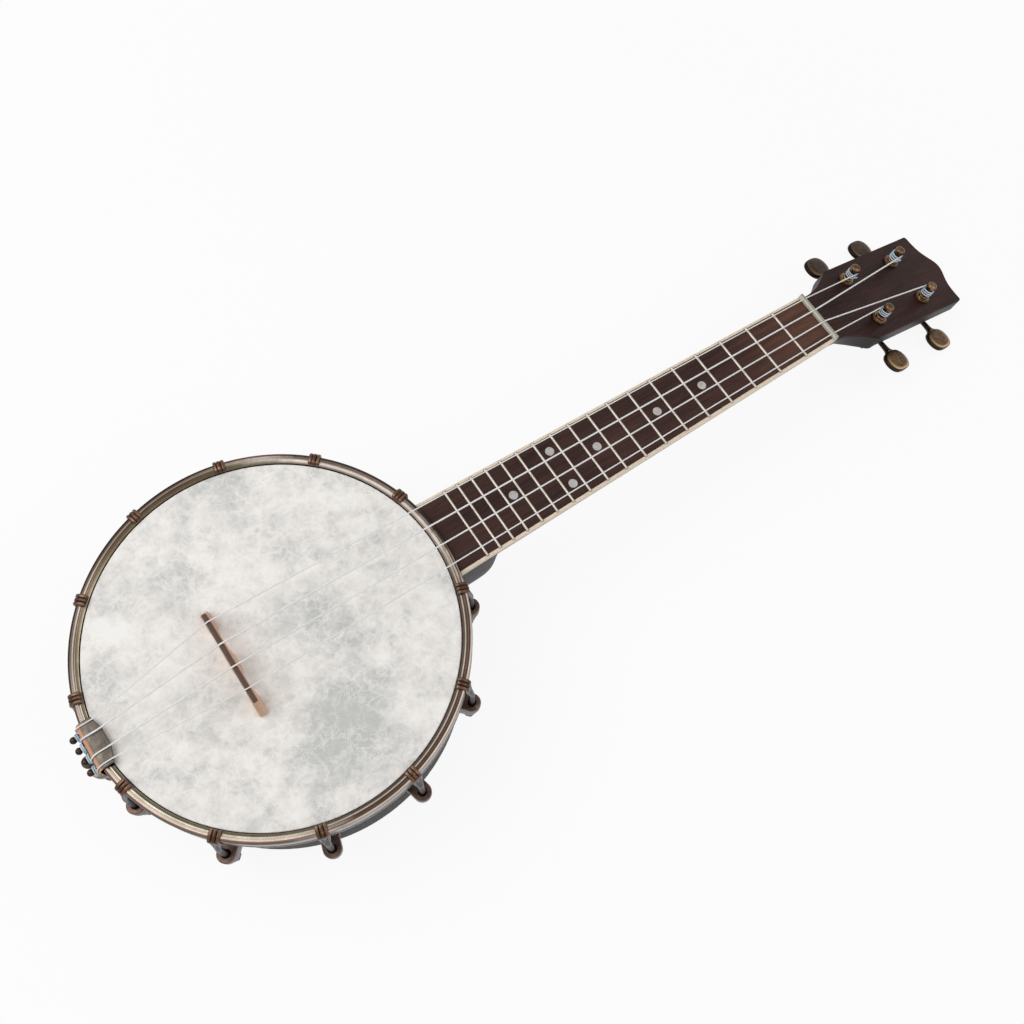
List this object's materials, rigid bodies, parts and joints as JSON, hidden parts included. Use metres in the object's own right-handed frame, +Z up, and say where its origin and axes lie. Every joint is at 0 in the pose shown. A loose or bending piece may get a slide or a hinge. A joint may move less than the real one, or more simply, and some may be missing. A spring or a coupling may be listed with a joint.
{
  "type": "banjo ukulele",
  "caption": "Banjo ukulele lying on its back: open-backed round pot with a tensioned drum head, fretted neck, bridge, tailpiece, strings and geared tuners.",
  "frame": {"origin": "on the flat surface that the instrument lies on, below the middle of its box", "axes": "+X runs along the neck from the pot to the headstock, +Z is up out of the drum head, +Y is the side of string 1"},
  "size_m": [0.5912, 0.2074, 0.0917],
  "materials": {
    "rim": "dark grey satin lacquer over wood",
    "head": "off-white drum head film with a mottled fibre look",
    "flesh_hoop": "plain light metal ring",
    "hoop": "brushed antique brass with a grey cast",
    "hooks": "dark antique copper with bright worn edges",
    "steel": "plain steel",
    "tailpiece": "brushed antique brass with a grey cast",
    "bridge": "bare maple",
    "ebony": "dark hardwood cap",
    "neck": "dark blue-grey satin lacquer over wood",
    "fingerboard": "oiled rosewood with cream-white frets",
    "veneer": "very dark satin wood veneer",
    "binding": "cream plastic binding",
    "nut": "polished bone-white nut",
    "strings": "clear-white nylon",
    "tuners": "antique brass with bright worn edges"
  },
  "bodies": {
    "root": {"headstock_veneer": "veneer", "tuner_1_bushing": "tuners", "tuner_1_housing": "tuners", "tuner_2_bushing": "tuners", "tuner_2_housing": "tuners", "tuner_3_bushing": "tuners", "tuner_3_housing": "tuners", "tuner_4_bushing": "tuners", "tuner_4_housing": "tuners", "neck": "neck", "fingerboard": "fingerboard", "binding_bass": "binding", "binding_treble": "binding", "nut": "nut", "pot_rim": "rim", "drum_head": "head", "flesh_hoop": "flesh_hoop", "tension_hoop": "hoop", "hook_01": "hooks", "shoe_01": "hooks", "hook_02": "hooks", "shoe_02": "hooks", "hook_03": "hooks", "shoe_03": "hooks", "hook_04": "hooks", "shoe_04": "hooks", "hook_05": "hooks", "shoe_05": "hooks", "hook_06": "hooks", "shoe_06": "hooks", "hook_07": "hooks", "shoe_07": "hooks", "hook_08": "hooks", "shoe_08": "hooks", "hook_09": "hooks", "shoe_09": "hooks", "hook_10": "hooks", "shoe_10": "hooks", "hook_11": "hooks", "shoe_11": "hooks", "hook_12": "hooks", "shoe_12": "hooks", "coordinator_rod": "steel", "tail_shoe": "hooks", "tail_bolt": "hooks", "tailpiece": "tailpiece", "bridge_body": "bridge", "bridge_cap": "ebony", "string_1": "strings", "string_2": "strings", "string_3": "strings", "string_4": "strings"},
    "button_1": {"tuner_1_button": "tuners"},
    "post_1": {"tuner_1_post": "tuners"},
    "button_2": {"tuner_2_button": "tuners"},
    "post_2": {"tuner_2_post": "tuners"},
    "button_3": {"tuner_3_button": "tuners"},
    "post_3": {"tuner_3_post": "tuners"},
    "button_4": {"tuner_4_button": "tuners"},
    "post_4": {"tuner_4_post": "tuners"}
  },
  "joints": [
    {"name": "button_1_turn", "type": "hinge", "parent": "root", "child": "button_1", "pos_m": [0.22179, 0.0158, 0.01873], "axis": [0, 1, 0], "continuous": true},
    {"name": "post_1_turn", "type": "hinge", "parent": "root", "child": "post_1", "pos_m": [0.21641, 0.0158, 0.04077], "axis": [0.3173, 0, 0.9483], "continuous": true},
    {"name": "button_2_turn", "type": "hinge", "parent": "root", "child": "button_2", "pos_m": [0.26542, 0.0152, 0.00413], "axis": [0, 1, 0], "continuous": true},
    {"name": "post_2_turn", "type": "hinge", "parent": "root", "child": "post_2", "pos_m": [0.26004, 0.0152, 0.02618], "axis": [0.3173, 0, 0.9483], "continuous": true},
    {"name": "button_3_turn", "type": "hinge", "parent": "root", "child": "button_3", "pos_m": [0.26542, -0.0152, 0.00413], "axis": [0, -1, 0], "continuous": true},
    {"name": "post_3_turn", "type": "hinge", "parent": "root", "child": "post_3", "pos_m": [0.26004, -0.0152, 0.02618], "axis": [0.3173, 0, 0.9483], "continuous": true},
    {"name": "button_4_turn", "type": "hinge", "parent": "root", "child": "button_4", "pos_m": [0.22179, -0.0158, 0.01873], "axis": [0, -1, 0], "continuous": true},
    {"name": "post_4_turn", "type": "hinge", "parent": "root", "child": "post_4", "pos_m": [0.21641, -0.0158, 0.04077], "axis": [0.3173, 0, 0.9483], "continuous": true}
  ],
  "couplings": [
    {"joint": "post_1_turn", "follows": "button_1_turn", "ratio": -0.083333},
    {"joint": "post_2_turn", "follows": "button_2_turn", "ratio": -0.083333},
    {"joint": "post_3_turn", "follows": "button_3_turn", "ratio": 0.083333},
    {"joint": "post_4_turn", "follows": "button_4_turn", "ratio": 0.083333}
  ]
}
